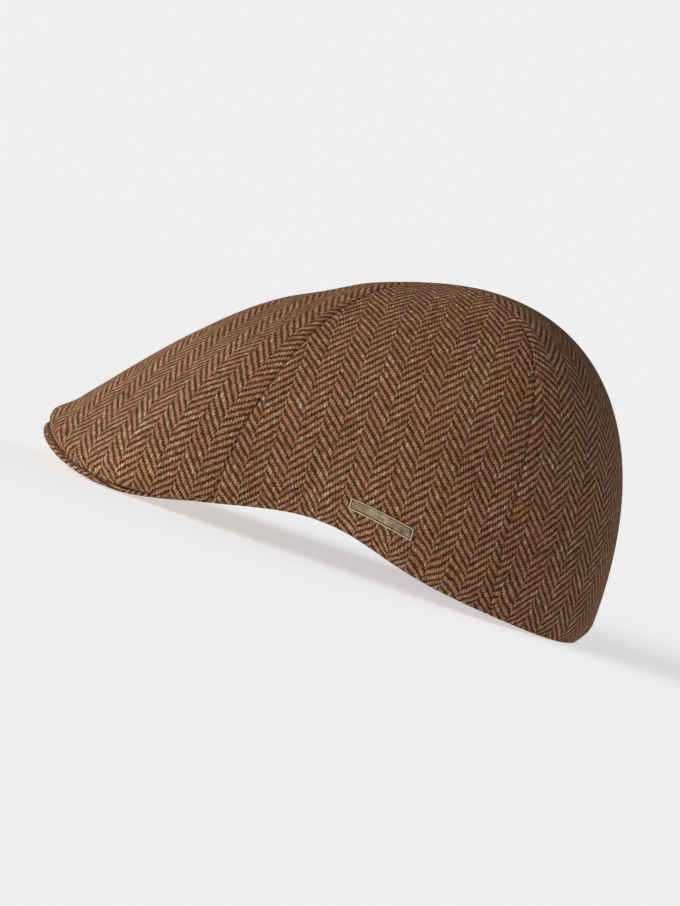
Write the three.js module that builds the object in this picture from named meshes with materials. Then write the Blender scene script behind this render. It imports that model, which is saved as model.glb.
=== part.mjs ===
// A six-panel flat cap with a covered peak, resting on a surface as it would by itself.
// Millimetres. The front of the cap looks along -Y, the wearer's left is +X, and up is +Z.
// The surface that the cap rests on is z = 0, and x = 0 is the plane of symmetry.
import * as THREE from "three";

// ---------------------------------------------------------------- driving dimensions

const CLOTH = 2.2; // wall of the wool cloth, with its backing
const HEM = 2.8; // width of the folded hem, seen from below
const GAP = 0.3; // between two pieces that are sewn together
const TOP_POINT = new THREE.Vector3(0, 12, 138.5); // where the six panels meet
const TOP_PITCH = 16; // degrees that the crown rises to the rear at the top point
const TOP_HOLE = 2.4; // radius left open where the six tips meet

// One row for each section from the top point down to the rim, going round the left side.
// heading: degrees from the front in which the section leaves the top point
// reach: how far it runs that way, as a curve handle
// rimX, rimY, rimZ: where the surface ends and the hem folds down
// leanX, leanY, rise: its curve handle at the rim
// fold: how far the hem hangs below the rim
const SECTIONS = [
  // name            heading reach rimX   rimY   rimZ leanX leanY rise fold
  ["centre_front",        0,   95,    0,  -136,  24.5,    0,   26,  19, 7.5],
  ["peak_nose",          13,   90,   27,  -133,  20.5,    3,   26,  24, 7.0],
  ["peak_corner",        25,   82,   52,  -118,  11.5,    8,   24,  33, 5.6],
  ["peak_side",          36,   74,   68,   -95,   7.0,   13,   14,  47, 3.7],
  ["front_seam",         49,   65,   78,   -49,  12.0,   14,    0,  58, 2.0],
  ["peak_end",           68,   61,   83,     3,  19.5,   17,    0,  62, 1.0],
  ["ear",                98,   66,   84,    44,  10.5,   19,    0,  72, 1.0],
  ["back_seam",         138,  108,   72,    87,   4.0,   19,  -13,  68, 1.0],
  ["back_corner",       160,  101,   43,   125,   0.8,   12,    2,  84, 1.0],
  ["centre_back",       180,   94,    0, 138.5,   1.6,    0,    5,  92, 1.0],
];

// The edge of the peak, measured from the outer corner of the folded hem at each rimY.
// out: how far the edge stands forward of that corner, drop: how far below it
// seat: width of the margin under the hem, tilt: how far that margin rises inwards
// thick: the peak's thickness there
const PEAK_EDGE = [
  // rimY   out  drop seat tilt thick
  [-136.0,  1.2,  0.6, 5.0, 0.0,  4.0],
  [-118.0,  1.0,  0.6, 4.6, 0.2,  2.8],
  [-104.0,  0.2,  0.6, 3.8, 0.2,  2.9],
  [ -92.0, -4.2,  0.6, 1.5, 0.6,  2.4],
  [ -74.0, -4.2, -1.6, 1.5, 1.0,  2.6],
  [ -52.0, -3.8, -3.6, 1.5, 1.0,  3.2],
  [   3.0, -3.7, -3.6, 1.5, 1.0,  3.0],
];
const PEAK_NOSE = 1.0; // how far the peak's rounded edge bulges at half its thickness

// The peak's rear edge is an oval arch round the forehead.
const FOREHEAD = {
  y: -70, // the middle of the arch
  z: 36, // its height there, at the top of the peak
  endX: 72, // the two ends of the arch
  endY: 0,
  endZ: 24,
};

// Soft dents and swellings of the crown: a bump along the surface's normal.
// around, down: its middle, wide, tall: its half sizes, all as shares of the surface; depth in mm
const DENTS = [
  // name             around  down  wide  tall  depth
  ["crown_front",      0.00,  0.19, 0.20, 0.09,  -1.2],
  ["front_swell",      0.00,  0.36, 0.16, 0.12,   0.4],
  ["behind_lip",       0.08,  0.90, 0.12, 0.07,  -0.8],
  ["temple",           0.50,  0.62, 0.05, 0.20,  -0.6],
];

// The bare metal plate near the rim on the left side.
const PLATE = {
  around: 0.572, // its middle, as shares of the surface
  down: 0.929,
  length: 32,
  height: 5.5,
  thickness: 0.8,
  turn: -3, // degrees that it turns down from the line of the surface
};

const FACETS = {
  down: 16, // rows of facets from the top point to the rim
  spacing: 12, // width of a facet at the rim
  peakAcross: 5, // rows of facets from the peak's edge to the forehead
  peakRound: 34, // facets along half of the peak's edge and its mirror
};

const WOOL = { color: 0x6e4a38, roughness: 0.95, metalness: 0 };
const BRASS = { color: 0x9a8462, roughness: 0.4, metalness: 0.9 };

// ---------------------------------------------------------------- curves

const degrees = THREE.MathUtils.degToRad;
const mix = THREE.MathUtils.lerp;

// A smooth closed curve through rows of numbers, the second derivatives found by relaxation.
function loopSpline(knots, rows, period) {
  const count = knots.length;
  const next = (i) => (i + 1) % count;
  const prior = (i) => (i + count - 1) % count;
  const span = knots.map((knot, i) => (i + 1 < count ? knots[i + 1] : period + knots[0]) - knot);
  const bend = rows.map((row) => row.map(() => 0));
  for (let sweep = 0; sweep < 60; sweep += 1) {
    for (let i = 0; i < count; i += 1) {
      const [p, n] = [prior(i), next(i)];
      for (let c = 0; c < rows[i].length; c += 1) {
        const turn = (rows[n][c] - rows[i][c]) / span[i] - (rows[i][c] - rows[p][c]) / span[p];
        const pull = span[p] * bend[p][c] + span[i] * bend[n][c];
        bend[i][c] = (6 * turn - pull) / (2 * (span[p] + span[i]));
      }
    }
  }
  return (where) => {
    const at = ((where % period) + period) % period;
    let i = count - 1;
    while (knots[i] > at) i -= 1;
    const n = next(i);
    const h = span[i];
    const v = (at - knots[i]) / h;
    const u = 1 - v;
    return rows[i].map((value, c) => {
      const curve = (u ** 3 - u) * bend[i][c] + (v ** 3 - v) * bend[n][c];
      return u * value + v * rows[n][c] + (curve * h * h) / 6;
    });
  };
}

// Rows looked up by their first column, with straight lines between them.
function lookUp(table, key) {
  const last = table.length - 1;
  const i = Math.min(Math.max(table.findIndex((row) => row[0] > key) - 1, 0), last - 1);
  const from = key >= table[last][0] ? last - 1 : i;
  const [low, high] = [table[from], table[from + 1]];
  const share = THREE.MathUtils.clamp((key - low[0]) / (high[0] - low[0]), 0, 1);
  return low.slice(1).map((value, c) => mix(value, high[c + 1], share));
}

// A section's curve handle at the top point, its handle at the rim, the rim itself, and the fold.
function sectionHandles([, heading, reach, rimX, rimY, rimZ, leanX, leanY, rise, fold]) {
  const turn = degrees(heading);
  const pitch = degrees(TOP_PITCH);
  const forward = reach * Math.cos(turn);
  return [
    TOP_POINT.x + reach * Math.sin(turn),
    TOP_POINT.y - forward * Math.cos(pitch),
    TOP_POINT.z - forward * Math.sin(pitch),
    rimX + leanX, rimY + leanY, rimZ + rise,
    rimX, rimY, rimZ,
    fold,
  ];
}

const handles = SECTIONS.map(sectionHandles);
const rimSteps = handles.slice(1).map((row, i) => {
  const prior = handles[i];
  return Math.hypot(row[6] - prior[6], row[7] - prior[7], row[8] - prior[8]);
});
const halfRim = rimSteps.reduce((sum, step) => sum + step, 0);
const AROUND = { [SECTIONS[0][0]]: 0 };
rimSteps.reduce((sum, step, i) => {
  AROUND[SECTIONS[i + 1][0]] = (sum + step) / halfRim;
  return sum + step;
}, 0);

// The left half's sections, then their mirrors on the way back: around runs from 0 to 2.
const leftKnots = SECTIONS.map((row) => AROUND[row[0]]);
const inner = leftKnots.slice(1, -1).reverse();
const mirrorRow = (row) => row.map((value, c) => (c % 3 === 0 && c < 9 ? -value : value));
const sectionAt = loopSpline(
  [...leftKnots, ...inner.map((knot) => 2 - knot)],
  [...handles, ...handles.slice(1, -1).reverse().map(mirrorRow)],
  2,
);

// ---------------------------------------------------------------- the crown's surface

function smoothSurface(around, down) {
  const h = sectionAt(around);
  const t = down;
  const u = 1 - t;
  const weights = [u ** 3, 3 * u * u * t, 3 * u * t * t, t ** 3];
  const mixAxis = (top, c) =>
    weights[0] * top + weights[1] * h[c] + weights[2] * h[c + 3] + weights[3] * h[c + 6];
  return new THREE.Vector3(
    mixAxis(TOP_POINT.x, 0),
    mixAxis(TOP_POINT.y, 1),
    mixAxis(TOP_POINT.z, 2),
  );
}

function slopes(around, down) {
  const step = 1e-4;
  const low = Math.max(down - step, 0);
  const high = Math.min(down + step, 1);
  const alongRim = smoothSurface(around + step, down).sub(smoothSurface(around - step, down));
  const downward = smoothSurface(around, high).sub(smoothSurface(around, low));
  return {
    alongRim: alongRim.divideScalar(2 * step),
    downward: downward.divideScalar(high - low),
  };
}

function normalAt(around, down) {
  const { alongRim, downward } = slopes(around, down);
  return downward.cross(alongRim).normalize();
}

function dentAt(around, down) {
  return DENTS.reduce((sum, [, middle, height, wide, tall, depth]) => {
    const far = Math.hypot((around - middle) / wide, (down - height) / tall);
    return sum + (far < 1 ? depth * (1 - far * far) ** 2 : 0);
  }, 0);
}

// A point of the cap, inset from the outer face; cloth that would pass the surface lies flat on it.
function capPoint(around, down, inset) {
  const offset = dentAt(around, down) - inset;
  const point = smoothSurface(around, down).addScaledVector(normalAt(around, down), offset);
  point.z = Math.max(point.z, 0);
  return point;
}

// The way that the rim faces, seen from above.
function outwardAt(around) {
  const { alongRim } = slopes(around, 1);
  return new THREE.Vector3(alongRim.y, -alongRim.x, 0).normalize();
}

// The foot of the folded hem, inset from its outer corner.
function hemPoint(around, inset) {
  const foot = smoothSurface(around, 1).addScaledVector(outwardAt(around), -inset);
  foot.z = Math.max(foot.z - sectionAt(around)[9], 0);
  return foot;
}

// ---------------------------------------------------------------- closed solids from grids

// outer and inner are grids of points with the same numbers of rows and columns.
// The solid's skin is both grids and the four edge walls between them.
function shell(outer, inner) {
  const rows = outer.length;
  const columns = outer[0].length;
  const positions = [...outer, ...inner].flat().flatMap((point) => point.toArray());
  const at = (face, i, j) => (face * rows + i) * columns + j;
  const index = [];
  const quad = (a, b, c, d) => index.push(a, c, b, a, d, c);
  for (let i = 0; i + 1 < rows; i += 1) {
    for (let j = 0; j + 1 < columns; j += 1) {
      quad(at(0, i, j), at(0, i, j + 1), at(0, i + 1, j + 1), at(0, i + 1, j));
      quad(at(1, i, j), at(1, i + 1, j), at(1, i + 1, j + 1), at(1, i, j + 1));
    }
  }
  for (let i = 0; i + 1 < rows; i += 1) {
    quad(at(0, i, 0), at(0, i + 1, 0), at(1, i + 1, 0), at(1, i, 0));
    quad(at(0, i, columns - 1), at(1, i, columns - 1), at(1, i + 1, columns - 1), at(0, i + 1, columns - 1));
  }
  for (let j = 0; j + 1 < columns; j += 1) {
    quad(at(0, 0, j), at(1, 0, j), at(1, 0, j + 1), at(0, 0, j + 1));
    quad(at(0, rows - 1, j), at(0, rows - 1, j + 1), at(1, rows - 1, j + 1), at(1, rows - 1, j));
  }
  const geometry = new THREE.BufferGeometry();
  geometry.setAttribute("position", new THREE.Float32BufferAttribute(positions, 3));
  geometry.setIndex(index);
  return geometry;
}

function mirrored(geometry) {
  const copy = geometry.clone().scale(-1, 1, 1);
  const index = copy.getIndex().array;
  for (let i = 0; i < index.length; i += 3) {
    [index[i], index[i + 1]] = [index[i + 1], index[i]];
  }
  return copy;
}

function mesh(name, geometry, finish) {
  const facets = geometry.toNonIndexed();
  facets.computeVertexNormals();
  const piece = new THREE.Mesh(facets, new THREE.MeshStandardMaterial(finish));
  piece.name = name;
  return piece;
}

const steps = (count, make) => Array.from({ length: count + 1 }, (_, i) => make(i / count));

// ---------------------------------------------------------------- the six panels

// A panel between two seams, from its tip at the top point to the rim.
function panel(fromSeam, toSeam) {
  const [start, end] = [AROUND[fromSeam], AROUND[toSeam]];
  const across = Math.round(((end - start) * halfRim) / FACETS.spacing);
  const seamShare = (seam, down) => GAP / 2 / slopes(seam, down).alongRim.length();
  const place = (share, fall) => {
    const middle = mix(start, end, share);
    const top = TOP_HOLE / slopes(middle, 0).downward.length();
    const down = mix(top, 1, fall);
    const left = start + seamShare(start, down);
    const right = end - seamShare(end, down);
    return [mix(left, right, share), down];
  };
  const face = (inset) => steps(FACETS.down, (fall) =>
    steps(across, (share) => capPoint(...place(share, fall), inset)));
  const foot = (inset) => steps(across, (share) => hemPoint(place(share, 1)[0], inset));
  return shell([...face(0), foot(0)], [...face(CLOTH), foot(HEM)]);
}

// ---------------------------------------------------------------- the peak

// The peak's edge, margin and rear edge at one place, from -1 at its right end to 1 at its left.
function peakSection(share) {
  const around = Math.abs(share) * AROUND.peak_end;
  const corner = hemPoint(around, 0);
  const outward = outwardAt(around);
  const [out, drop, seat, tilt, thick] = lookUp(PEAK_EDGE, corner.y);
  const edge = corner.clone().addScaledVector(outward, out);
  edge.z -= drop;
  const nose = edge.clone().addScaledVector(outward, PEAK_NOSE);
  nose.z = Math.max(edge.z - thick / 2, thick / 5);
  const margin = edge.clone().addScaledVector(outward, -seat);
  margin.z += tilt;
  const turn = Math.abs(share) * (Math.PI / 2);
  const rear = new THREE.Vector3(
    FOREHEAD.endX * Math.sin(turn),
    mix(FOREHEAD.endY, FOREHEAD.y, Math.cos(turn)),
    mix(FOREHEAD.endZ, FOREHEAD.z, Math.cos(turn)),
  );
  const points = { nose, edge, margin, rear };
  Object.values(points).forEach((point) => { point.x *= Math.sign(share); });
  return { ...points, thick };
}

// Rows from the peak's rounded edge to the forehead.
function peakSolid() {
  const columns = steps(FACETS.peakRound, (step) => peakSection(2 * step - 1));
  const under = (point, thick) => point.clone().setZ(Math.max(point.z - thick, 0));
  const face = (place) => [
    columns.map(({ nose }) => nose),
    columns.map(({ edge, thick }) => place(edge, thick)),
    ...steps(FACETS.peakAcross, (row) => columns.map(({ margin, rear, thick }) =>
      place(margin.clone().lerp(rear, row), thick))),
  ];
  return shell(face(under), face((point) => point));
}

// ---------------------------------------------------------------- the metal plate

function plate() {
  const { alongRim, downward } = slopes(PLATE.around, PLATE.down);
  const turn = degrees(PLATE.turn);
  const place = (length, height) => {
    const onRim = length * Math.cos(turn) - height * Math.sin(turn);
    const onFall = length * Math.sin(turn) + height * Math.cos(turn);
    return [PLATE.around + onRim / alongRim.length(), PLATE.down + onFall / downward.length()];
  };
  const face = (inset) => steps(2, (row) => steps(12, (column) =>
    capPoint(...place((column - 0.5) * PLATE.length, (row - 0.5) * PLATE.height), inset)));
  return shell(face(-GAP - PLATE.thickness), face(-GAP));
}

// ---------------------------------------------------------------- the cap

const cap = new THREE.Group();
const PANELS = [
  ["front_panel", "centre_front", "front_seam"],
  ["side_panel", "front_seam", "back_seam"],
  ["back_panel", "back_seam", "centre_back"],
];
for (const [name, fromSeam, toSeam] of PANELS) {
  const left = panel(fromSeam, toSeam);
  cap.add(mesh(`${name}_left`, left, WOOL));
  cap.add(mesh(`${name}_right`, mirrored(left), WOOL));
}
cap.add(mesh("peak", peakSolid(), WOOL));
cap.add(mesh("metal_plate", plate(), BRASS));

export default cap;
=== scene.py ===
"""A duckbill flat cap of brown herringbone wool, resting by itself on a pale floor.

The cap is worked out in millimetres from the same sections as its CAD model, and every piece
is written in metres. +Y runs from the peak to the back of the head, +X is the wearer's left.
"""
import math

import bpy
import numpy as np
from mathutils import Matrix, Vector


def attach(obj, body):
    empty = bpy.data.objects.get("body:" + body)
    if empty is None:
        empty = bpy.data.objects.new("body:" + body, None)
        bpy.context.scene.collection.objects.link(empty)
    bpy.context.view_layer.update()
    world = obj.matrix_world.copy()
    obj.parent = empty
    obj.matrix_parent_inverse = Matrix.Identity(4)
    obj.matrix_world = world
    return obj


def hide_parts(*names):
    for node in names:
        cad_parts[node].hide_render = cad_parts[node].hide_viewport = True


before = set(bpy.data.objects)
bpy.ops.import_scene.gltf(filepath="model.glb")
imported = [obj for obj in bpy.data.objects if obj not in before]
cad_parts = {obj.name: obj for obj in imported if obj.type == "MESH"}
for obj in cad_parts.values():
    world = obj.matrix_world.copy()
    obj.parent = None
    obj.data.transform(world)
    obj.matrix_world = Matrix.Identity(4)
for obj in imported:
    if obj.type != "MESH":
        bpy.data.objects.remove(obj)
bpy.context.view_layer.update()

MM = 0.001

# ---------------------------------------------------------------- driving sizes, in millimetres

CLOTH = 2.2           # thickness of the wall
HEM = 2.8             # width of the folded rim
SEAM_GAP = 0.02       # between two panels
TOP_POINT = np.array([0.0, 12.0, 138.5])
TOP_PITCH = 16        # degrees that the crown slopes forwards at the top point
TOP_HOLE = 0.35       # the panels' tips end this far from the top point

# Each section runs from the top point to the rim.
# name, heading and reach: its handle at the top, rim x, y, z: where it ends,
# lean x, y and rise: its handle at the rim, fold: height of the turned edge
SECTIONS = [
    ("centre_front",   0,  95,  0, -136.0, 24.5,  0,  26, 19, 7.5),
    ("peak_nose",     13,  90, 27, -133.0, 20.5,  3,  26, 24, 7.0),
    ("peak_corner",   25,  82, 52, -118.0, 11.5,  8,  24, 33, 5.6),
    ("peak_side",     36,  74, 68,  -95.0,  7.0, 13,  14, 47, 3.7),
    ("front_seam",    49,  65, 78,  -49.0, 12.0, 14,   0, 58, 2.0),
    ("peak_end",      68,  61, 83,    3.0, 19.5, 17,   0, 62, 1.0),
    ("ear",           98,  66, 84,   44.0, 10.5, 19,   0, 72, 1.0),
    ("back_seam",    138, 108, 72,   87.0,  4.0, 19, -13, 68, 1.0),
    ("back_corner",  160, 101, 43,  125.0,  0.8, 12,   2, 84, 1.0),
    ("centre_back",  180,  94,  0,  138.5,  1.6,  0,   5, 92, 1.0),
]

# The peak's edge, from the outer corner of the turned edge above it.
# rim_y, out: forward of that corner, drop: below it, seat: width of the margin,
# tilt: the margin's rise, thick: thickness there
PEAK_EDGE = [
    (-136.0,  1.2,  0.6, 5.0, 0.0, 4.0),
    (-118.0,  1.0,  0.6, 4.6, 0.2, 2.8),
    (-104.0,  0.2,  0.6, 3.8, 0.2, 2.9),
    (-92.0,  -3.2,  0.6, 1.5, 0.6, 2.4),
    (-74.0,  -4.2, -1.0, 1.5, 1.0, 2.4),
    (-52.0,  -4.2, -3.2, 1.5, 1.0, 2.8),
    (3.0,    -4.2, -3.4, 1.5, 1.0, 2.4),
]
PEAK_NOSE = 1.0       # the rounded edge's bulge
FOREHEAD = {"y": -70, "z": 36, "end_x": 72, "end_y": 0, "end_z": 24}

# Soft dents and swellings: middle and half sizes as shares of the surface, depth in millimetres.
DENTS = [
    # name           around down  wide  tall  depth
    ("crown_front",  0.00, 0.19, 0.20, 0.09, -1.2),
    ("front_swell",  0.00, 0.36, 0.16, 0.12,  0.4),
    ("behind_lip",   0.08, 0.90, 0.12, 0.07, -0.8),
    ("temple",       0.50, 0.62, 0.05, 0.20, -0.6),
]

# Puckers that the hem's stitching draws in the cloth above it.
PUCKERS = [
    # around down  wide   tall   depth
    (0.470, 0.965, 0.022, 0.050, -0.55),
    (0.505, 0.975, 0.018, 0.040,  0.45),
    (0.545, 0.985, 0.030, 0.030, -0.50),
    (0.600, 0.975, 0.026, 0.040,  0.60),
    (0.640, 0.960, 0.020, 0.060, -0.55),
    (0.668, 0.960, 0.016, 0.055,  0.50),
    (0.695, 0.965, 0.018, 0.050, -0.45),
    (0.760, 0.960, 0.018, 0.060,  0.40),
    (0.800, 0.965, 0.022, 0.050, -0.40),
    (0.300, 0.965, 0.025, 0.045, -0.30),
    (0.215, 0.970, 0.020, 0.040,  0.25),
    (0.120, 0.955, 0.030, 0.050, -0.35),
]

# How the rim curls in, in millimetres: over what height and how far, at the sides and the back.
TUCK = {"from": 0.78, "side_reach": 2.5, "side_depth": 0.5, "back_reach": 9.0, "back_depth": 5.0}
STITCH = {"above": 4.6, "depth": 0.35, "width": 0.7}

PLATE = {"around": 0.573, "down": 0.929, "length": 32.2, "height": 5.5, "thick": 0.9, "turn": -3,
         "border": 0.62, "bevel": 0.22, "field": 0.18, "chase": 0.20, "corner": 0.5,
         "face_at": 0.25, "back_at": 0.12}   # the last two: above the smooth surface

WEAVE = {"yarn": 1.03, "ends": 9}   # yarn pitch in millimetres, and yarns in one stripe
PUCKER_PULL = 3.0     # millimetres that the weave is drawn aside for each millimetre of a pucker
PULL_WAY = np.array([0.35, 1.0])       # which way it is drawn, across and along the stripes
RIGHT_SHIFT = 0.011   # how far the right side's puckers are moved round, as a share of the surface
WAVE = {"height": 0.25, "along": 7.1, "down": 9}   # a slow swelling that differs between the sides

# Colours of the wool, as light: place on each yarn's own scale of shades, then the colour.
TWEED = {
    "pale": [(0.28, (0.260, 0.135, 0.060)), (0.40, (0.400, 0.190, 0.105)), (0.48, (0.510, 0.295, 0.190)),
             (0.55, (0.460, 0.165, 0.090)), (0.62, (0.550, 0.350, 0.200)), (0.76, (0.740, 0.530, 0.410))],
    "dark": [(0.30, (0.046, 0.011, 0.003)), (0.42, (0.088, 0.029, 0.010)), (0.50, (0.070, 0.044, 0.020)),
             (0.57, (0.135, 0.035, 0.014)), (0.64, (0.096, 0.057, 0.030)), (0.76, (0.220, 0.108, 0.056))],
    "tints": [(0.00, (1.16, 0.88, 0.74)), (0.22, (0.97, 1.00, 0.98)), (0.42, (1.06, 1.02, 0.66)),
              (0.60, (0.98, 1.00, 1.04)), (0.76, (0.84, 1.04, 0.84)), (0.90, (1.02, 0.97, 1.18))],
    "hollows": (0.92, 1.04, 1.12),
    "grain": (2.0, 0.0),       # the fibres' noise: how much, and the least
    "painted_gap_shade": (0.72, 0.38),    # painted shade in the gaps between the yarns, by their roundness: how much, and the least
    "patches": (0.36, 0.82),   # uneven dye: how much, and the least
    "painted_front_light": (-0.040, -0.120, 0.17),   # painted light: paler between these y in metres, by this share
    "haze": 0.40,
    "haze_color": (0.250, 0.125, 0.072),
}

DENSE = {"across": 1.25, "down": 1.25}  # spacing of the panels' points, in millimetres

# ---------------------------------------------------------------- curves


def loop_spline(knots, rows, period):
    """A smooth closed curve through rows of numbers."""
    knots = np.asarray(knots, float)
    rows = np.asarray(rows, float)
    count = len(knots)
    span = np.diff(np.append(knots, knots[0] + period))
    prior = np.roll(span, 1)
    matrix = np.zeros((count, count))
    for i in range(count):
        matrix[i, i] = 2 * (prior[i] + span[i])
        matrix[i, i - 1] += prior[i]
        matrix[i, (i + 1) % count] += span[i]
    slope = (np.roll(rows, -1, axis=0) - rows) / span[:, None]
    bend = np.linalg.solve(matrix, 6 * (slope - np.roll(slope, 1, axis=0)))

    def at(where):
        where = np.mod(where, period)
        i = np.searchsorted(knots, where, side="right") - 1
        n = (i + 1) % count
        h = span[i][..., None]
        v = (where - knots[i])[..., None] / h
        u = 1 - v
        curve = (u ** 3 - u) * bend[i] + (v ** 3 - v) * bend[n]
        return u * rows[i] + v * rows[n] + curve * h * h / 6

    return at


def section_handles(section):
    _, heading, reach, rim_x, rim_y, rim_z, lean_x, lean_y, rise, fold = section
    turn = math.radians(heading)
    pitch = math.radians(TOP_PITCH)
    forward = reach * math.cos(turn)
    ahead = [reach * math.sin(turn), -forward * math.cos(pitch), -forward * math.sin(pitch)]
    rim = np.array([rim_x, rim_y, rim_z])
    return np.concatenate([TOP_POINT + ahead, rim + [lean_x, lean_y, rise], rim, [fold]])


HANDLES = np.array([section_handles(section) for section in SECTIONS])
RIM_STEPS = np.linalg.norm(np.diff(HANDLES[:, 6:9], axis=0), axis=1)
HALF_RIM = RIM_STEPS.sum()
KNOTS = np.concatenate([[0], np.cumsum(RIM_STEPS)]) / HALF_RIM
AROUND = {section[0]: knot for section, knot in zip(SECTIONS, KNOTS)}
MIRROR_ROW = np.array([-1, 1, 1] * 3 + [1])
section_at = loop_spline(
    np.concatenate([KNOTS, 2 - KNOTS[-2:0:-1]]),
    np.vstack([HANDLES, HANDLES[-2:0:-1] * MIRROR_ROW]),
    2.0,
)

# ---------------------------------------------------------------- the crown's surface


def smooth_surface(around, down):
    around, down = np.broadcast_arrays(np.asarray(around, float), np.asarray(down, float))
    h = section_at(around)
    t = down[..., None]
    u = 1 - t
    top = u ** 3 * TOP_POINT + 3 * u * u * t * h[..., 0:3]
    return top + 3 * u * t * t * h[..., 3:6] + t ** 3 * h[..., 6:9]


def slopes(around, down):
    step = 1e-4
    low = np.maximum(np.asarray(down, float) - step, 0)
    high = np.minimum(np.asarray(down, float) + step, 1)
    along = (smooth_surface(around + step, down) - smooth_surface(around - step, down)) / (2 * step)
    fall = (smooth_surface(around, high) - smooth_surface(around, low)) / (high - low)[..., None]
    return along, fall


def unit(vectors):
    return vectors / np.linalg.norm(vectors, axis=-1, keepdims=True)


def length_of(vectors):
    return np.linalg.norm(vectors, axis=-1)


def normal_at(around, down):
    along, fall = slopes(around, down)
    return unit(np.cross(fall, along))


def bump(around, down, middle, height, wide, tall, depth):
    far2 = ((around - middle) / wide) ** 2 + ((down - height) / tall) ** 2
    return depth * np.clip(1 - far2, 0, None) ** 2


def puckers(around, down, side):
    shift = 0.0 if side > 0 else RIGHT_SHIFT
    return sum(bump(around + shift, down, *pucker) for pucker in PUCKERS)


def relief(around, down, side):
    """Dents and puckers, which differ a little between the two sides of the cap."""
    total = sum(bump(around, down, *dent[1:]) for dent in DENTS) + puckers(around, down, side)
    wave = np.sin(WAVE["along"] * around * HALF_RIM / 100 + 2 * side) * np.sin(WAVE["down"] * down + side)
    return total + WAVE["height"] * wave * np.sin(math.pi * np.clip(down, 0, 1))


def tuck(around, down, to_rim):
    """The rim's curl: tight at the back of the head, slight elsewhere, with the hem's stitched line."""
    back = np.clip((around - TUCK["from"]) / (1 - TUCK["from"]), 0, 1) ** 1.5
    reach = TUCK["side_reach"] + (TUCK["back_reach"] - TUCK["side_reach"]) * back
    depth = TUCK["side_depth"] + (TUCK["back_depth"] - TUCK["side_depth"]) * back
    curl = -depth * np.clip(1 - to_rim / reach, 0, 1) ** 2
    behind_peak = np.clip((around - AROUND["front_seam"] + 0.04) / 0.08, 0, 1)
    line = -STITCH["depth"] * np.exp(-((to_rim - STITCH["above"]) / STITCH["width"]) ** 2)
    return (curl + line) * behind_peak


def outward_at(around):
    along, _ = slopes(around, np.ones_like(around))
    flat = np.stack([along[..., 1], -along[..., 0], np.zeros_like(around)], axis=-1)
    return unit(flat)


# ---------------------------------------------------------------- meshes


def grid_faces(rows, columns, close=False):
    """Quads over a grid of points; close joins the last row to the first."""
    i, j = np.meshgrid(np.arange(rows if close else rows - 1), np.arange(columns - 1), indexing="ij")
    i, j = i.ravel(), j.ravel()
    n = (i + 1) % rows
    return np.stack([i * columns + j, i * columns + j + 1, n * columns + j + 1, n * columns + j], 1)


def add_piece(name, points, faces, uv, material, node, layer_name="Weave"):
    """A mesh piece in metres, with coordinates for its pattern in millimetres, riding on the cap."""
    mesh = bpy.data.meshes.new(name)
    mesh.from_pydata((points * MM).tolist(), [], [list(map(int, face)) for face in faces])
    mesh.validate()
    layer = mesh.uv_layers.new(name=layer_name)
    index = np.empty(len(mesh.loops), dtype=np.int32)
    mesh.loops.foreach_get("vertex_index", index)
    layer.data.foreach_set("uv", np.asarray(uv)[index].astype(np.float32).ravel())
    mesh.polygons.foreach_set("use_smooth", np.ones(len(mesh.polygons), dtype=bool))
    mesh.materials.append(material)
    piece = bpy.data.objects.new(name, mesh)
    bpy.context.scene.collection.objects.link(piece)
    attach(piece, "root")
    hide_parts(node)
    return piece


# ---------------------------------------------------------------- cutting patterns


def flatten(points, rounds=260):
    """Lays a grid of surface points out flat, keeping the distances between neighbours."""
    rows, columns = points.shape[:2]
    index = np.arange(rows * columns).reshape(rows, columns)
    pairs = np.concatenate([
        np.stack([index[:, :-1].ravel(), index[:, 1:].ravel()], 1),
        np.stack([index[:-1].ravel(), index[1:].ravel()], 1),
        np.stack([index[:-1, :-1].ravel(), index[1:, 1:].ravel()], 1),
        np.stack([index[:-1, 1:].ravel(), index[1:, :-1].ravel()], 1),
    ])
    flat3 = points.reshape(-1, 3)
    want = length_of(flat3[pairs[:, 0]] - flat3[pairs[:, 1]])
    weight = 1 / np.maximum(want, 2.0) ** 2
    count = rows * columns
    lap = np.zeros((count, count))
    np.add.at(lap, (pairs[:, 0], pairs[:, 1]), -weight)
    np.add.at(lap, (pairs[:, 1], pairs[:, 0]), -weight)
    lap[np.arange(count), np.arange(count)] = -lap.sum(axis=1)
    inverse = np.linalg.inv(lap + 1.0 / count)
    middle = columns // 2
    down = np.concatenate([[0], np.cumsum(length_of(np.diff(points[:, middle], axis=0)))])
    across = np.concatenate(
        [np.zeros((rows, 1)), np.cumsum(length_of(np.diff(points, axis=1)), axis=1)], axis=1)
    flat = np.stack([across - across[:, [middle]], np.repeat(-down[:, None], columns, 1)], -1)
    flat = flat.reshape(-1, 2)
    for _ in range(rounds):
        step = flat[pairs[:, 0]] - flat[pairs[:, 1]]
        pull = step * (weight * want / np.maximum(length_of(step), 1e-6))[:, None]
        force = np.zeros_like(flat)
        np.add.at(force, pairs[:, 0], pull)
        np.add.at(force, pairs[:, 1], -pull)
        flat = inverse @ force
    return flat.reshape(rows, columns, 2)


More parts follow.
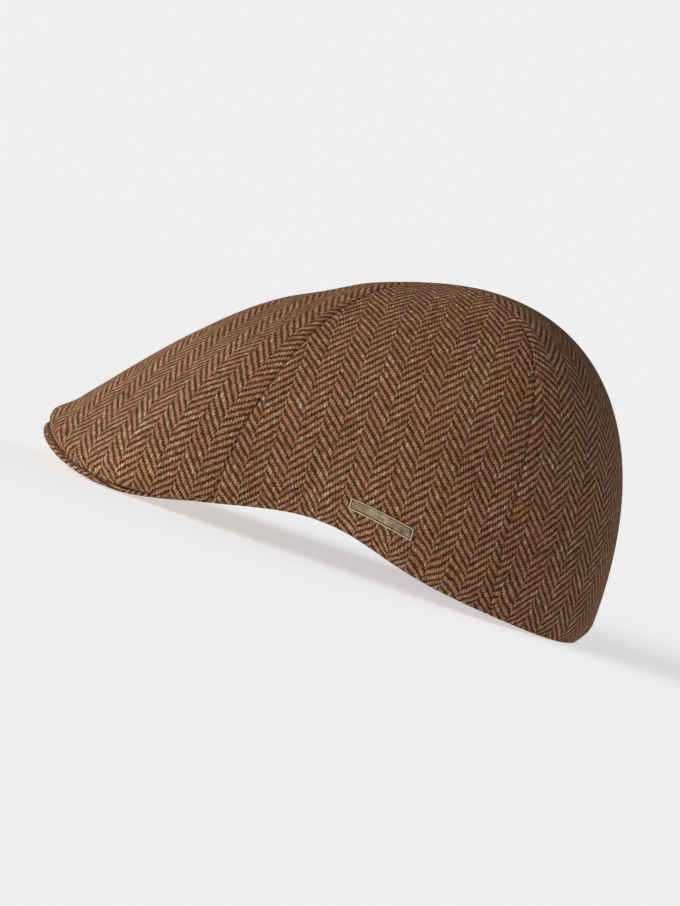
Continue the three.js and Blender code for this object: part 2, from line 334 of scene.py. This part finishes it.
def spread(grid, rows, columns):
    """Values on a coarse even grid, read smoothly at shares of its rows and columns."""
    def weights(share, count):
        place = np.clip(share, 0, 1) * (count - 1)
        low = np.clip(np.floor(place).astype(int), 0, count - 2)
        t = place - low
        basis = np.stack([
            -0.5 * t + t * t - 0.5 * t ** 3, 1 - 2.5 * t * t + 1.5 * t ** 3,
            0.5 * t + 2 * t * t - 1.5 * t ** 3, -0.5 * t * t + 0.5 * t ** 3], 1)
        full = np.zeros((len(share), count))
        for k in range(4):
            at = low + k - 1
            near = np.clip(at, 0, count - 1)
            np.add.at(full, (np.arange(len(share)), near), basis[:, k])
            # past an edge the grid is carried on in a straight line
            over = at - near
            beyond = over != 0
            inner = np.where(near == 0, 1, count - 2)
            np.add.at(full, (np.arange(len(share))[beyond], near[beyond]), basis[beyond, k])
            np.add.at(full, (np.arange(len(share))[beyond], inner[beyond]), -basis[beyond, k])
        return full
    down = weights(rows, grid.shape[0])
    across = weights(columns, grid.shape[1])
    return np.einsum("ri,cj,ijk->rck", down, across, grid)


def turn_grain(flat, along, grain_turn):
    """Turns a flat pattern so that the direction along lies on +V, and then by grain_turn."""
    angle = math.atan2(along[0], along[1]) + math.radians(grain_turn)
    c, s = math.cos(angle), math.sin(angle)
    return flat @ np.array([[c, s], [-s, c]])


# ---------------------------------------------------------------- the six panels

COARSE = {"rows": 30, "columns": 15}
SEAM = {"depth": 0.65, "width": 0.80, "swell": 0.18, "swell_at": 3.6, "swell_width": 2.0}
SEAM_CROWDING = 0.084 # how far columns crowd towards the seams, so that the dips are round
TIPS = {"down": 0.10, "least": 0.25}   # above this the seams dip less, down to this share
FOLD = {"rows": 10, "bulge": 0.16, "corner": 0.75, "corner_most": 1.3}   # the turned edge
UNDER_ROWS = 8

# grain: what the stripes follow, a seam or the upright; turn: degrees from it; shift: millimetres
PANELS = [
    # name          from seam       to seam        grain     turn shift
    ("front_panel", "centre_front", "front_seam",  "start",  -31, -3.5),
    ("side_panel",  "front_seam",   "back_seam",   "upright", -3, 9.0),
    ("back_panel",  "back_seam",    "centre_back", "start",    3, 0.0),
]


def place_rows(start, end, shares, falls):
    """around and down at each row and column of a panel, clear of its seams."""
    middle = start + (end - start) * shares
    top = TOP_HOLE / length_of(slopes(middle, np.zeros_like(middle))[1])
    down = top[None, :] + (1 - top[None, :]) * falls[:, None]
    gap_start = SEAM_GAP / 2 / length_of(slopes(np.full_like(down, start), down)[0])
    gap_end = SEAM_GAP / 2 / length_of(slopes(np.full_like(down, end), down)[0])
    left, right = start + gap_start, end - gap_end
    return left + (right - left) * shares[None, :], down


def seam_profile(distance):
    """How the cloth dips into a seam, and swells beside it over the turned edges."""
    dip = -SEAM["depth"] * np.exp(-(distance / SEAM["width"]) ** 2)
    swell = SEAM["swell"] * np.exp(-((distance - SEAM["swell_at"]) / SEAM["swell_width"]) ** 2)
    return dip + swell


def soften(grid, rows, rounds):
    """Rounds the corner of a profile by averaging each point of it with its neighbours."""
    for _ in range(rounds):
        inner = grid[rows]
        grid[rows] = (grid[rows.start - 1:rows.stop - 1] + 2 * inner + grid[rows.start + 1:rows.stop + 1]) / 4


def panel_grid(start, end, side):
    """Points of a left panel's closed section rows: outside, turned edge, underside, inside."""
    middle = (start + end) / 2
    height = length_of(np.diff(smooth_surface(middle, np.linspace(0, 1, 60)), axis=0)).sum()
    down_count = int(height / DENSE["down"])
    across_count = int((end - start) * HALF_RIM / DENSE["across"])
    shares = np.linspace(0, 1, across_count + 1)
    shares = shares - SEAM_CROWDING * np.sin(2 * math.pi * shares) / (2 * math.pi)
    falls = np.linspace(0, 1, down_count + 1)
    around, down = place_rows(start, end, shares, falls)
    along, _ = slopes(around, down)
    from_start = (around - start) * length_of(along)
    to_end = (end - around) * length_of(along)
    dip = seam_profile(from_start) + seam_profile(to_end)
    # near the top point the panels' tips lie close together, and dip less
    dip = dip * np.clip(down / TIPS["down"], TIPS["least"], 1)
    soft = relief(around, down, side)
    normal = normal_at(around, down)
    smooth = smooth_surface(around, down)
    steps_down = np.zeros_like(down)
    steps_down[:-1] = length_of(np.diff(smooth, axis=0))
    to_rim = np.cumsum(steps_down[::-1], axis=0)[::-1]
    curl = tuck(around, down, to_rim)
    outside = smooth + normal * (dip + soft + curl)[..., None]
    inside = smooth + normal * (soft + curl - CLOTH)[..., None]

    rim_around = around[-1]
    outward = outward_at(rim_around)
    fold = section_at(rim_around)[:, 9]
    corner = outside[-1]
    foot = corner.copy()
    foot[:, 2] = np.maximum(corner[:, 2] - fold, 0)
    drop = np.clip(FOLD["corner"] * (corner[:, 2] - foot[:, 2]), 0, FOLD["corner_most"])
    low = foot.copy()
    low[:, 2] += drop
    s = np.linspace(0, 1, FOLD["rows"] + 1)[1:, None, None]
    bulge = (FOLD["bulge"] * fold)[None, :, None] * np.sin(math.pi * s) * outward[None]
    folded = corner[None] + (low - corner)[None] * s + bulge
    q = np.linspace(0, 1, UNDER_ROWS + 1)[1:, None]
    under = foot[None] - outward[None] * (HEM * q)[..., None]
    rounding = drop[None] * (1 - np.sqrt(np.clip(1 - (2 * q - 1) ** 2, 0, 1)))
    under[..., 2] += rounding
    grid = np.concatenate([outside, folded, under, inside[::-1]])
    corner_row = len(outside) - 1
    soften(grid, slice(corner_row - 2, corner_row + 3), 6)
    soften(grid, slice(corner_row - 5, corner_row + 6), 3)
    grid[..., 2] = np.maximum(grid[..., 2], 0)
    return grid, falls, shares


def panel_pattern(start, end, grain, grain_turn):
    """The panel's flat pattern on a coarse grid, with its stripes along V."""
    falls = np.linspace(0, 1, COARSE["rows"])
    shares = np.linspace(0, 1, COARSE["columns"])
    around, down = place_rows(start, end, shares, falls)
    points = smooth_surface(around, down)
    flat = flatten(points)
    # keep it from lying face down
    a, b = flat[-2, -2] - flat[-2, 0], flat[-1, 0] - flat[1, 0]
    if a[0] * b[1] - a[1] * b[0] > 0:
        flat = flat * [-1, 1]
    row = int(COARSE["rows"] * 0.72)
    if grain == "start":
        along = flat[row - 5, 0] - flat[-1, 0]
    else:
        column = COARSE["columns"] // 2
        across3 = points[row, column + 1] - points[row, column - 1]
        down3 = points[row + 1, column] - points[row - 1, column]
        basis = np.stack([across3, down3], 1)
        share = np.linalg.lstsq(basis, np.array([0, 0, 1.0]), rcond=None)[0]
        across2 = flat[row, column + 1] - flat[row, column - 1]
        down2 = flat[row + 1, column] - flat[row - 1, column]
        along = share[0] * across2 + share[1] * down2
    return turn_grain(flat, along / np.linalg.norm(along), grain_turn)


def panel_uv(pattern, grid, falls, shares, start, end, side):
    """Weave coordinates in millimetres for each point of the panel."""
    outside = spread(pattern, falls, shares)
    pull = puckers(*place_rows(start, end, shares, falls), side)
    outside = outside + PUCKER_PULL * pull[..., None] * PULL_WAY
    below = unit(outside[-1] - outside[-6])
    rows = len(falls)
    turned = grid[rows - 1:len(grid) - rows + 1]
    path = np.cumsum(length_of(np.diff(turned, axis=0)), axis=0)[:-1]
    folded = outside[-1][None] + below[None] * path[..., None]
    return np.concatenate([outside, folded, outside[::-1]])


def shell_faces(rows, columns):
    """Faces of a grid whose rows close into a loop, with a wall at each end of the columns."""
    faces = grid_faces(rows, columns, close=True).tolist()
    first, last = 0, rows - 1
    walls = []
    while last - first > 2:
        walls.append([first, first + 1, last - 1, last])
        first += 1
        last -= 1
    if last - first == 2:
        walls.append([first, first + 1, last])
    faces += [[row * columns for row in wall] for wall in walls]
    faces += [[row * columns + columns - 1 for row in reversed(wall)] for wall in walls]
    return faces


def volume_of(points, faces):
    total = 0.0
    for count in (3, 4):
        some = np.array([face for face in faces if len(face) == count])
        for k in range(1, count - 1) if len(some) else ():
            a, b, c = points[some[:, 0]], points[some[:, k]], points[some[:, k + 1]]
            total += np.einsum("ij,ij->i", a, np.cross(b, c)).sum() / 6
    return total


def facing_out(points, faces):
    return faces if volume_of(points, faces) > 0 else [face[::-1] for face in faces]


def add_panel(name, from_seam, to_seam, grain, grain_turn, shift, material):
    start, end = AROUND[from_seam], AROUND[to_seam]
    pattern = panel_pattern(start, end, grain, grain_turn) + [shift, 0]
    for side, hand in ((1, "left"), (-1, "right")):
        grid, falls, shares = panel_grid(start, end, side)
        uv = panel_uv(pattern, grid, falls, shares, start, end, side)
        points = grid.reshape(-1, 3) * [side, 1, 1]
        faces = facing_out(points, shell_faces(*grid.shape[:2]))
        weave = uv.reshape(-1, 2) * [side, 1]
        panel = add_piece(f"{name}_cloth_{hand}", points, faces, weave, material, f"{name}_{hand}")


# ---------------------------------------------------------------- the peak

PEAK_COLUMNS = 420
PEAK_IN_ROWS = 34
PEAK_NOSE_ROWS = 22
LIP_LIFT = 0.55       # the lip's roll closes up under the front panels
LIP_FROM, LIP_OVER = -90, 15           # in front of this y, and over this length
PEAK_ROLL_ROWS = 9
PEAK_STRIPES = 45     # degrees that the stripes run across the peak
PEAK_ROUND = 1.9      # how far back from the edge its rounding starts


def peak_profile(share):
    """Top edge, margin and rear of the peak at shares from -1, its right end, to 1, its left."""
    around = np.abs(share) * AROUND["peak_end"]
    rim = smooth_surface(around, np.ones_like(around))
    outward = outward_at(around)
    corner = rim.copy()
    corner[:, 2] = np.maximum(corner[:, 2] - section_at(around)[:, 9], 0)
    table = np.array(PEAK_EDGE)
    out, drop, seat, tilt, thick = (np.interp(corner[:, 1], table[:, 0], table[:, c]) for c in range(1, 6))
    edge = corner + outward * out[:, None]
    edge[:, 2] -= drop - LIP_LIFT * np.clip((LIP_FROM - corner[:, 1]) / LIP_OVER, 0, 1)
    margin = edge - outward * seat[:, None]
    margin[:, 2] += tilt
    turn = np.abs(share) * math.pi / 2
    blend = np.cos(turn)
    rear = np.stack([
        FOREHEAD["end_x"] * np.sin(turn),
        FOREHEAD["end_y"] + (FOREHEAD["y"] - FOREHEAD["end_y"]) * blend,
        FOREHEAD["end_z"] + (FOREHEAD["z"] - FOREHEAD["end_z"]) * blend], 1)
    mirror = np.stack([np.where(share < 0, -1.0, 1.0), np.ones_like(share), np.ones_like(share)], 1)
    return edge * mirror, margin * mirror, rear * mirror, outward * mirror, thick


def add_peak(material):
    share = np.linspace(-1, 1, PEAK_COLUMNS + 1)
    edge, margin, rear, outward, thick = peak_profile(share)
    bottom = np.maximum(edge[:, 2] - thick, 0)
    half = (edge[:, 2] - bottom) / 2
    # the covered edge is a rounded roll from the top face to the underside
    phi = np.linspace(math.pi / 2, -math.pi / 2, PEAK_NOSE_ROWS + 1)[:, None]
    reach = PEAK_ROUND + PEAK_NOSE
    ahead = -PEAK_ROUND + reach * np.cos(phi) ** 0.85 + 0 * share[None]
    nose = edge[None] + outward[None] * ahead[..., None]
    nose[..., 2] = (edge[:, 2] - half)[None] + half[None] * np.sin(phi)
    inner = np.linspace(0, 1, PEAK_IN_ROWS + 1)[1:, None, None]
    top_start = nose[0]
    seat_share = (length_of(margin - top_start) / length_of(rear - top_start))[None, :, None]
    near = np.clip(inner / seat_share, 0, 1)
    far = np.clip((inner - seat_share) / (1 - seat_share), 0, 1)
    top = top_start[None] + (margin - top_start)[None] * near + (rear - margin)[None] * far
    under_start = nose[-1]
    down = np.zeros_like(rear)
    down[:, 2] = thick
    low_margin, low_rear = margin - down, rear - down
    under = under_start[None] + (low_margin - under_start)[None] * near + (low_rear - low_margin)[None] * far
    # the rear edge is turned over in a small roll
    theta = np.linspace(0, math.pi, PEAK_ROLL_ROWS)[1:-1][:, None]
    back = unit((rear - margin) * [1, 1, 0])
    middle = rear - down / 2
    roll = middle[None] + back[None] * (thick[None] / 2 * np.sin(theta))[..., None]
    roll[..., 2] = middle[None, :, 2] + thick[None] / 2 * np.cos(theta)
    grid = np.concatenate([top[::-1], nose, under, roll[::-1]])
    grid[..., 2] = np.maximum(grid[..., 2], 0)
    points = grid.reshape(-1, 3)
    faces = facing_out(points, shell_faces(*grid.shape[:2]))
    # weave: flat on the underside, and carried on round the roll by its length
    base = nose[-1]
    path = np.cumsum(length_of(np.diff(nose[::-1], axis=0)), axis=0)
    path = np.concatenate([np.zeros((1, len(share))), path])[::-1]
    roll_uv = base[None, :, :2] + outward[None, :, :2] * path[..., None]
    top_uv = roll_uv[0][None] + (top - top_start[None])[..., :2]
    uv = np.concatenate([top_uv[::-1], roll_uv, under[..., :2], roll[::-1][..., :2]])
    turn = math.radians(PEAK_STRIPES)
    rotate = np.array([[math.cos(turn), math.sin(turn)], [-math.sin(turn), math.cos(turn)]])
    add_piece("peak_cloth", points, faces, uv.reshape(-1, 2) @ rotate, material, "peak")


# ---------------------------------------------------------------- the metal plate


def add_plate(material):
    """A thin bent plate with rounded corners, a raised border, a chased line inside it and a bare field."""
    length, height, thick = PLATE["length"], PLATE["height"], PLATE["thick"]
    border, bevel, field = PLATE["border"], PLATE["bevel"], PLATE["field"]
    chase, corner = PLATE["chase"], PLATE["corner"]
    # rows and columns of points close to the bevel, the border and the chased line
    steps = np.array([0.08, 0.16, 0.22, border - 0.12, border, border + 0.10, border + 0.22,
                      border + 0.36, border + 0.50])
    xs, ys = (np.unique(np.round(np.concatenate([
        np.linspace(-side / 2, side / 2, count), side / 2 - steps, steps - side / 2]), 3))
        for side, count in ((length, 90), (height, 16)))
    x, y = np.meshgrid(xs, ys)
    # pull the four corners in to round them
    qx = np.maximum(np.abs(x) - (length / 2 - corner), 0)
    qy = np.maximum(np.abs(y) - (height / 2 - corner), 0)
    far = np.hypot(qx, qy)
    over = np.where(far > corner, corner / np.maximum(far, 1e-6), 1)
    x = np.sign(x) * (np.minimum(np.abs(x), length / 2 - corner) + qx * over)
    y = np.sign(y) * (np.minimum(np.abs(y), height / 2 - corner) + qy * over)
    inside = np.minimum(length / 2 - np.abs(x), height / 2 - np.abs(y))
    top = thick - bevel * np.clip(1 - inside / bevel, 0, 1) ** 2
    top = top - field * np.clip((inside - border) / 0.12, 0, 1)
    top = top - chase * np.clip(1 - ((inside - border - 0.22) / 0.22) ** 2, 0, 1)
    along, fall = slopes(np.array([PLATE["around"]]), np.array([PLATE["down"]]))
    turn = math.radians(PLATE["turn"])
    on_rim = x * math.cos(turn) - y * math.sin(turn)
    on_fall = x * math.sin(turn) + y * math.cos(turn)
    around = PLATE["around"] + on_rim / length_of(along)[0]
    down = PLATE["down"] + on_fall / length_of(fall)[0]
    base = smooth_surface(around, down)
    normal = normal_at(around, down)
    upper = base + normal * (top + PLATE["face_at"])[..., None]
    lower = base + normal * PLATE["back_at"]
    rows, columns = x.shape
    points = np.concatenate([upper.reshape(-1, 3), lower.reshape(-1, 3)])
    front = grid_faces(rows, columns)
    behind = front[:, ::-1] + rows * columns
    faces = front.tolist() + behind.tolist()
    loop = [(0, j) for j in range(columns - 1)] + [(i, columns - 1) for i in range(rows - 1)]
    loop += [(rows - 1, j) for j in range(columns - 1, 0, -1)] + [(i, 0) for i in range(rows - 1, 0, -1)]
    ring = [i * columns + j for i, j in loop]
    for a, b in zip(ring, ring[1:] + ring[:1]):
        faces.append([b, a, a + rows * columns, b + rows * columns])
    face = np.stack([x, y], -1).reshape(-1, 2)
    add_piece("plate", points, facing_out(points, faces), np.concatenate([face, face]), material,
              "metal_plate", "Face")


# ---------------------------------------------------------------- materials


class Nodes:
    """Short names for making a material's nodes."""

    def __init__(self, name):
        self.material = bpy.data.materials.new(name)
        self.material.use_nodes = True
        self.tree = self.material.node_tree
        self.shader = self.tree.nodes["Principled BSDF"]

    def node(self, kind, **settings):
        node = self.tree.nodes.new(kind)
        for key, value in settings.items():
            setattr(node, key, value)
        return node

    def join(self, source, socket):
        if isinstance(source, (int, float)):
            socket.default_value = source
        else:
            self.tree.links.new(source, socket)

    def math(self, operation, a, b=0.0, c=0.0, clamp=False):
        node = self.node("ShaderNodeMath", operation=operation, use_clamp=clamp)
        for socket, value in zip(node.inputs, (a, b, c)):
            self.join(value, socket)
        return node.outputs[0]

    def smooth(self, value, low, high):
        node = self.node("ShaderNodeMapRange", interpolation_type="SMOOTHSTEP")
        self.join(value, node.inputs["Value"])
        node.inputs["From Min"].default_value = low
        node.inputs["From Max"].default_value = high
        return node.outputs["Result"]

    def noise(self, vector, scale, detail=2.0, rough=0.5, stretch=None):
        node = self.node("ShaderNodeTexNoise")
        if stretch:
            mapping = self.node("ShaderNodeMapping")
            mapping.inputs["Scale"].default_value = stretch
            self.join(vector, mapping.inputs["Vector"])
            vector = mapping.outputs["Vector"]
        self.join(vector, node.inputs["Vector"])
        node.inputs["Scale"].default_value = scale
        node.inputs["Detail"].default_value = detail
        node.inputs["Roughness"].default_value = rough
        return node.outputs["Fac"]

    def mix(self, share, a, b, blend="MIX"):
        node = self.node("ShaderNodeMix", data_type="RGBA", blend_type=blend)
        self.join(share, node.inputs["Factor"])
        for socket, value in ((node.inputs["A"], a), (node.inputs["B"], b)):
            if isinstance(value, tuple):
                socket.default_value = (*value, 1)
            else:
                self.join(value, socket)
        return node.outputs["Result"]

    def ramp(self, value, stops):
        node = self.node("ShaderNodeValToRGB")
        ramp = node.color_ramp
        while len(ramp.elements) < len(stops):
            ramp.elements.new(0.5)
        for element, (place, color) in zip(ramp.elements, stops):
            element.position = place
            element.color = (*color, 1)
        self.join(value, node.inputs["Fac"])
        return node.outputs["Color"]


def tweed_material(name):
    """Herringbone: a two by two twill of pale and dark wool yarns that turns back every stripe."""
    n = Nodes(name)
    uv = n.node("ShaderNodeUVMap", uv_map="Weave").outputs["UV"]
    place = n.node("ShaderNodeTexCoord").outputs["Object"]
    split = n.node("ShaderNodeSeparateXYZ")
    n.join(uv, split.inputs[0])
    yarn = 1 / WEAVE["yarn"]
    # the yarns wander a little, and their edges are ragged
    u = n.math("MULTIPLY", split.outputs["X"], yarn)
    v = n.math("MULTIPLY", split.outputs["Y"], yarn)
    drift_u = n.math("MULTIPLY_ADD", n.noise(uv, 0.30, 2, 0.6), 1.6, -0.8)
    drift_v = n.math("MULTIPLY_ADD", n.noise(uv, 0.26, 2, 0.6), 1.6, -0.8)
    ragged_u = n.math("MULTIPLY_ADD", n.noise(uv, 2.4, 3, 0.7), 1.5, -0.75)
    ragged_v = n.math("MULTIPLY_ADD", n.noise(uv, 2.9, 3, 0.7), 1.5, -0.75)
    u = n.math("ADD", u, n.math("ADD", drift_u, ragged_u))
    v = n.math("ADD", v, n.math("ADD", drift_v, ragged_v))
    column = n.math("FLOOR", u)
    row = n.math("FLOOR", v)
    stripe = n.math("FLOOR", n.math("DIVIDE", column, float(WEAVE["ends"])))
    odd = n.math("FLOORED_MODULO", stripe, 2.0)
    turned = n.math("MULTIPLY_ADD", odd, -2.0, 1.0)
    # each stripe starts off by one, so that floats meet the gaps of the stripe before
    diagonal = n.math("SUBTRACT", n.math("MULTIPLY_ADD", column, turned, row), stripe)
    warp_up = n.math("LESS_THAN", n.math("FLOORED_MODULO", diagonal, 4.0), 1.5)
    weft_up = n.math("SUBTRACT", 1.0, warp_up)
    # each float is round across its own yarn, and it has a shade of its own
    across_u = n.math("SUBTRACT", n.math("FRACT", u), 0.5)
    across_v = n.math("SUBTRACT", n.math("FRACT", v), 0.5)
    round_u = n.math("MULTIPLY_ADD", n.math("MULTIPLY", across_u, across_u), -4.0, 1.0)
    round_v = n.math("MULTIPLY_ADD", n.math("MULTIPLY", across_v, across_v), -4.0, 1.0)
    lift = n.math("MULTIPLY_ADD", round_u, warp_up, n.math("MULTIPLY", round_v, weft_up))
    number = n.node("ShaderNodeCombineXYZ")
    n.join(n.math("MULTIPLY_ADD", column, warp_up, n.math("MULTIPLY", row, weft_up)), number.inputs[0])
    n.join(n.math("FLOOR", n.math("DIVIDE", diagonal, 4.0)), number.inputs[1])
    n.join(warp_up, number.inputs[2])
    own = n.node("ShaderNodeTexWhiteNoise", noise_dimensions="3D")
    n.join(number.outputs[0], own.inputs["Vector"])
    own_shade = own.outputs["Value"]
    # pale warp: tan, with rust and ochre lengths; dark weft: dark brown
    lengthways = n.noise(uv, 1.0, 2, 0.6, stretch=(1.0, 0.22, 1))
    crossways = n.noise(uv, 1.0, 2, 0.6, stretch=(0.22, 1.0, 1))
    pale_tone = n.math("MULTIPLY_ADD", own_shade, 0.30, n.math("MULTIPLY", lengthways, 0.70))
    dark_tone = n.math("MULTIPLY_ADD", own_shade, 0.30, n.math("MULTIPLY", crossways, 0.70))
    pale = n.ramp(pale_tone, TWEED["pale"])
    dark = n.ramp(dark_tone, TWEED["dark"])
    color = n.mix(warp_up, dark, pale)
    # every few crossings the wool in a yarn changes its tint
    along = n.math("MULTIPLY_ADD", row, warp_up, n.math("MULTIPLY", column, weft_up))
    length = n.node("ShaderNodeCombineXYZ")
    n.join(n.math("MULTIPLY_ADD", column, warp_up, n.math("MULTIPLY", row, weft_up)), length.inputs[0])
    lengths = n.math("MULTIPLY_ADD", own_shade, 0.35, n.math("DIVIDE", along, 7.0))
    n.join(n.math("FLOOR", lengths), length.inputs[1])
    n.join(warp_up, length.inputs[2])
    tint = n.node("ShaderNodeTexWhiteNoise", noise_dimensions="3D")
    n.join(length.outputs[0], tint.inputs["Vector"])
    color = n.mix(0.85, color, n.ramp(tint.outputs["Value"], TWEED["tints"]), "MULTIPLY")
    # painted shade: the gaps between the yarns are darkened by the floats' roundness
    painted_gap_shade = n.math("MULTIPLY_ADD", lift, *TWEED["painted_gap_shade"], clamp=True)
    # a haze of loose wool softens the weave, and the dye is uneven
    fibre = n.noise(uv, 2.2, 5, 0.8)
    grain = n.math("MULTIPLY_ADD", fibre, *TWEED["grain"])
    shade = n.math("MULTIPLY", painted_gap_shade, grain)
    patch = n.math("MULTIPLY_ADD", n.noise(place, 26.0, 3, 0.6), *TWEED["patches"])
    # painted light: the cloth is made paler towards the peak, where the front light falls
    y_place = n.node("ShaderNodeSeparateXYZ")
    n.join(place, y_place.inputs[0])
    painted_light_from, painted_light_to, paler = TWEED["painted_front_light"]
    painted_front_light = n.smooth(y_place.outputs["Y"], painted_light_from, painted_light_to)
    shade = n.math("MULTIPLY", shade, n.math("MULTIPLY_ADD", painted_front_light, paler, 1.0))
    shade = n.math("MULTIPLY", shade, patch)
    # the shade, with its painted shade in the yarns' gaps and painted light towards the peak, stays warm:
    # less is taken from the red than from the blue
    warm = n.node("ShaderNodeCombineColor")
    for socket, power in zip(warm.inputs, TWEED["hollows"]):
        n.join(n.math("POWER", shade, power), socket)
    color = n.mix(1.0, color, warm.outputs[0], "MULTIPLY")
    haze = n.smooth(n.noise(uv, 1.3, 4, 0.8), 0.46, 0.74)
    color = n.mix(n.math("MULTIPLY", haze, TWEED["haze"]), color, TWEED["haze_color"])
    n.join(color, n.shader.inputs["Base Color"])
    n.shader.inputs["Roughness"].default_value = 0.95
    n.shader.inputs["Specular IOR Level"].default_value = 0.10
    n.shader.inputs["Sheen Weight"].default_value = 0.05
    n.shader.inputs["Sheen Roughness"].default_value = 0.5
    n.shader.inputs["Sheen Tint"].default_value = (0.95, 0.72, 0.52, 1)
    relief_height = n.math("MULTIPLY_ADD", lift, 0.75, n.math("MULTIPLY", fibre, 0.6))
    raised = n.node("ShaderNodeBump")
    raised.inputs["Strength"].default_value = 0.8
    raised.inputs["Distance"].default_value = 0.00035
    n.join(relief_height, raised.inputs["Height"])
    n.join(raised.outputs["Normal"], n.shader.inputs["Normal"])
    return n.material


def brass_material(name):
    """Aged brass: a mottled field, painted shade along the chased line and at the outer edge, and brighter on
    the raised border.
    """
    n = Nodes(name)
    place = n.node("ShaderNodeTexCoord").outputs["Object"]
    split = n.node("ShaderNodeSeparateXYZ")
    n.join(n.node("ShaderNodeUVMap", uv_map="Face").outputs["UV"], split.inputs[0])
    sides = [n.math("SUBTRACT", PLATE[size] / 2, n.math("ABSOLUTE", split.outputs[axis]))
             for size, axis in (("length", "X"), ("height", "Y"))]
    inside = n.math("MINIMUM", *sides)
    stain = n.noise(place, 420.0, 4, 0.65)
    cloud = n.noise(place, 130.0, 3, 0.6)
    border = PLATE["border"]
    field = n.smooth(inside, border - 0.06, border + 0.06)
    # painted shade: a dark band along the chased line inside the border, and at the plate's outer edge
    line = n.math("MULTIPLY", field, n.math("SUBTRACT", 1.0, n.smooth(inside, border + 0.28, border + 0.62)))
    side = n.math("SUBTRACT", 1.0, n.smooth(inside, 0.02, 0.16))
    base = n.ramp(n.math("ADD", n.math("MULTIPLY", stain, 0.6), n.math("MULTIPLY", cloud, 0.4)), [
        (0.36, (0.150, 0.095, 0.052)), (0.50, (0.330, 0.240, 0.150)), (0.64, (0.560, 0.440, 0.300))])
    border_color = n.mix(stain, (0.500, 0.365, 0.230), (0.820, 0.665, 0.480))
    color = n.mix(field, border_color, base)
    # painted shade: the chased line and the outer edge are darkened almost to black
    color = n.mix(n.math("MULTIPLY", n.math("MAXIMUM", line, side), 0.88), color, (0.030, 0.018, 0.009))
    n.join(color, n.shader.inputs["Base Color"])
    n.shader.inputs["Metallic"].default_value = 0.80
    rough = n.math("MULTIPLY_ADD", stain, 0.35, 0.26)
    n.join(rough, n.shader.inputs["Roughness"])
    brushed = n.noise(place, 900.0, 3, 0.6)
    raised = n.node("ShaderNodeBump")
    raised.inputs["Strength"].default_value = 0.25
    raised.inputs["Distance"].default_value = 0.00008
    n.join(brushed, raised.inputs["Height"])
    n.join(raised.outputs["Normal"], n.shader.inputs["Normal"])
    return n.material


# ---------------------------------------------------------------- floor, light and camera

# degrees, and millimetres for distance and aim
CAMERA = {"azimuth": 90, "elevation": 2.0, "distance": 1600, "roll": 19.2, "aim": (0, -1.5, 48.0)}
LENS = 133.5
FLOOR_SIDE = 60.0     # metres
FLOOR_SHADE = 0.75
FLOOR_GLOW = 0.556    # the pale floor is lit from below as well
BACKDROP = 0.863      # how bright the backdrop looks
SKY = 0.11            # how much light it gives


def add_floor():
    n = Nodes("pale_floor")
    n.shader.inputs["Base Color"].default_value = (FLOOR_SHADE, FLOOR_SHADE, FLOOR_SHADE, 1)
    n.shader.inputs["Emission Color"].default_value = (1, 1, 1, 1)
    n.shader.inputs["Emission Strength"].default_value = FLOOR_GLOW
    n.shader.inputs["Roughness"].default_value = 0.9
    n.shader.inputs["Specular IOR Level"].default_value = 0.1
    half = FLOOR_SIDE / 2
    mesh = bpy.data.meshes.new("floor")
    corners = [(-half, -half, 0), (half, -half, 0), (half, half, 0), (-half, half, 0)]
    mesh.from_pydata(corners, [], [(0, 1, 2, 3)])
    mesh.materials.append(n.material)
    floor = bpy.data.objects.new("floor", mesh)
    bpy.context.scene.collection.objects.link(floor)


def add_world():
    """A pale backdrop, which lights the cap less than it shows."""
    world = bpy.data.worlds.new("studio")
    bpy.context.scene.world = world
    world.use_nodes = True
    tree = world.node_tree
    path = tree.nodes.new("ShaderNodeLightPath")
    strength = tree.nodes.new("ShaderNodeMapRange")
    strength.inputs["To Min"].default_value = SKY
    strength.inputs["To Max"].default_value = BACKDROP
    tree.links.new(path.outputs["Is Camera Ray"], strength.inputs["Value"])
    tree.links.new(strength.outputs["Result"], tree.nodes["Background"].inputs["Strength"])
    tree.nodes["Background"].inputs["Color"].default_value = (1, 1, 1, 1)


LIGHTS = [
    # name    towards the light       strength  width in degrees
    ("key",   (0.35, -0.93, 0.05),    4.00,     60),
    ("fill",  (0.75, -0.62, 0.04),    1.10,     60),
    ("back",  (-0.60, 0.70, 0.32),    0.60,     60),
]


def add_lights():
    for name, towards, strength, width in LIGHTS:
        data = bpy.data.lights.new(name, "SUN")
        data.energy = strength
        data.angle = math.radians(width)
        light = bpy.data.objects.new(name, data)
        light.rotation_euler = Vector(towards).to_track_quat("Z", "Y").to_euler()
        light.location = towards
        bpy.context.scene.collection.objects.link(light)


def add_camera():
    azimuth, elevation, roll = (math.radians(CAMERA[key]) for key in ("azimuth", "elevation", "roll"))
    back = Vector((math.sin(azimuth) * math.cos(elevation),
                   -math.cos(azimuth) * math.cos(elevation), math.sin(elevation)))
    right = Vector((0, 0, 1)).cross(back).normalized()
    up = back.cross(right)
    turned_right = right * math.cos(roll) + up * math.sin(roll)
    turned_up = up * math.cos(roll) - right * math.sin(roll)
    data = bpy.data.cameras.new("camera")
    data.lens = LENS
    data.clip_end = 100
    camera = bpy.data.objects.new("camera", data)
    camera.matrix_world = Matrix((turned_right, turned_up, back)).transposed().to_4x4()
    camera.location = (Vector(CAMERA["aim"]) + back * CAMERA["distance"]) * MM
    bpy.context.scene.collection.objects.link(camera)
    bpy.context.scene.camera = camera


# ---------------------------------------------------------------- the cap

bpy.context.scene.view_settings.view_transform = "Standard"
add_camera()
tweed = tweed_material("herringbone_tweed")
for panel in PANELS:
    add_panel(*panel, tweed)
add_peak(tweed)
add_plate(brass_material("aged_brass"))
add_floor()
add_world()
add_lights()
